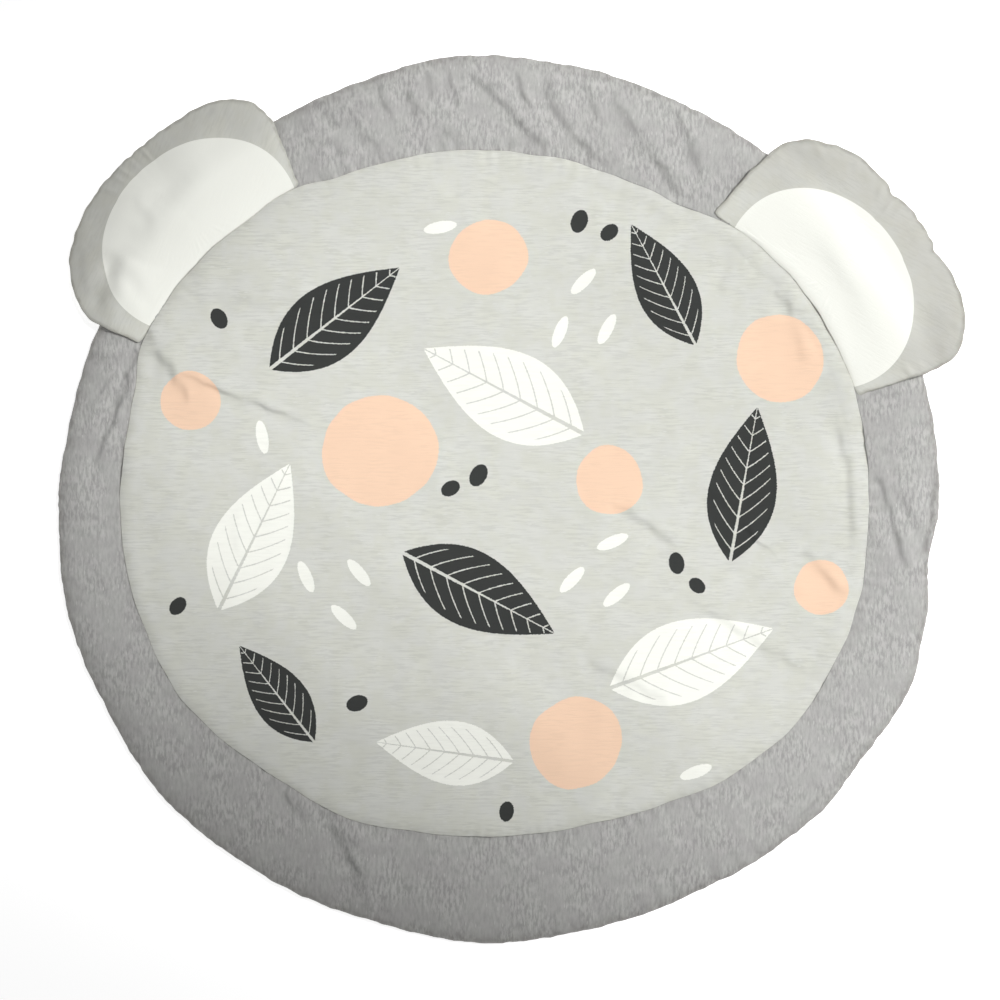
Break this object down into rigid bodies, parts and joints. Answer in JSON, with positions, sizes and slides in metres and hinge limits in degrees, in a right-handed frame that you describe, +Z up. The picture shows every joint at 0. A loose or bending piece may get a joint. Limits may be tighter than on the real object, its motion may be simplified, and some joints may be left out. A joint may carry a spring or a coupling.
{
  "type": "baby play mat",
  "caption": "Round padded jersey play mat with a printed oval panel sewn to its front and stuffed ears lying over its rim.",
  "frame": {"origin": "centre of the round mat on its flat underside", "axes": "+Z up out of the printed front, +Y towards the side that has the ears, +X to the right seen from above"},
  "size_m": [0.9652, 0.9545, 0.036],
  "materials": {
    "border_jersey": "soft grey melange single jersey with short light and dark streaks, matt",
    "panel_cloth": "pale grey-green melange jersey with fine crosswise streaks and a flat print, matt",
    "ear_cloth": "pale grey-green jersey with a flat white printed inner patch, matt"
  },
  "bodies": {
    "root": {"mat_body": "border_jersey", "centre_panel": "panel_cloth", "ear_left": "ear_cloth", "ear_right": "ear_cloth"}
  },
  "joints": []
}
